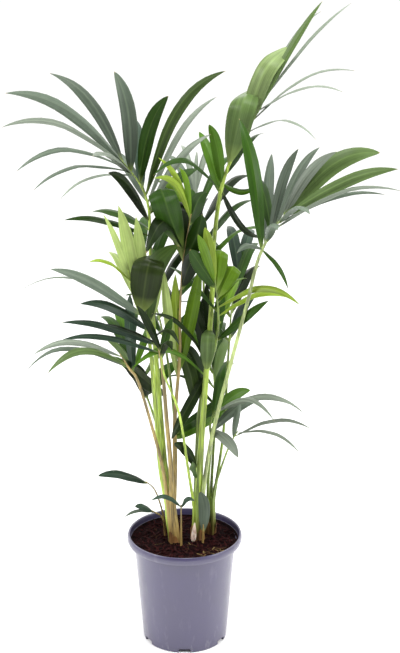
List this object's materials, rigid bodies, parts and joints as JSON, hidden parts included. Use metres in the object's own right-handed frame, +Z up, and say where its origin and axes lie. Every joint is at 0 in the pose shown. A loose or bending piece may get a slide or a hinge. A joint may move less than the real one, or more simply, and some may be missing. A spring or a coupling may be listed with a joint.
{
  "type": "potted kentia palm",
  "caption": "Young kentia palm in a plain round nursery pot: clustered short stems, long slender petioles and arching feather fronds that spread to all sides.",
  "frame": {"origin": "centre of the pot's flat underside, on the ground that the pot stands on", "axes": "+Z up along the pot's axis, +X to the plant's right seen from the front, -Y to the front"},
  "size_m": [0.6498, 0.5428, 1.1594],
  "materials": {
    "pot": "satin grey-lavender moulded plastic",
    "soil": "rough, moist potting soil with bark",
    "stem": "satin, clasping green and tan sheaths",
    "husk": "dry, pale old seed husk",
    "petiole": "smooth lime green leaf stalk",
    "petiole_tan": "smooth tan leaf stalk",
    "leaf": "satin dark green leaflet, greyer beneath",
    "leaf_light": "satin fresh green leaflet",
    "leaf_pale": "thin pale lime leaflet"
  },
  "bodies": {
    "root": {"pot": "pot", "soil": "soil", "stem_left": "stem", "stem_middle": "stem", "stem_right": "stem", "seed_husk": "husk", "petiole_top": "petiole", "petiole_upper_left": "petiole", "petiole_right": "petiole", "petiole_mid_right": "petiole", "petiole_centre": "petiole_tan", "petiole_left": "petiole_tan", "petiole_pale": "petiole", "petiole_low_left": "petiole_tan", "petiole_low_right": "petiole", "petiole_low_front": "petiole", "petiole_young": "petiole", "petiole_inner": "petiole", "petiole_back": "petiole", "petiole_back_left": "petiole", "petiole_back_right": "petiole", "petiole_low_back": "petiole", "petiole_low_back_left": "petiole", "frond_top": "leaf_light", "frond_upper_left": "leaf", "frond_right": "leaf", "frond_mid_right": "leaf_light", "frond_centre": "leaf", "frond_left": "leaf", "frond_pale": "leaf_pale", "frond_low_left": "leaf", "frond_low_right": "leaf_light", "frond_low_front": "leaf_light", "frond_young": "leaf_light", "frond_inner": "leaf", "frond_back": "leaf", "frond_back_left": "leaf", "frond_back_right": "leaf", "frond_low_back": "leaf_light", "frond_low_back_left": "leaf_light", "seedling_left": "leaf_light", "seedling_low": "leaf_light", "seedling_front": "leaf_light", "seedling_middle": "leaf_light"}
  },
  "joints": []
}
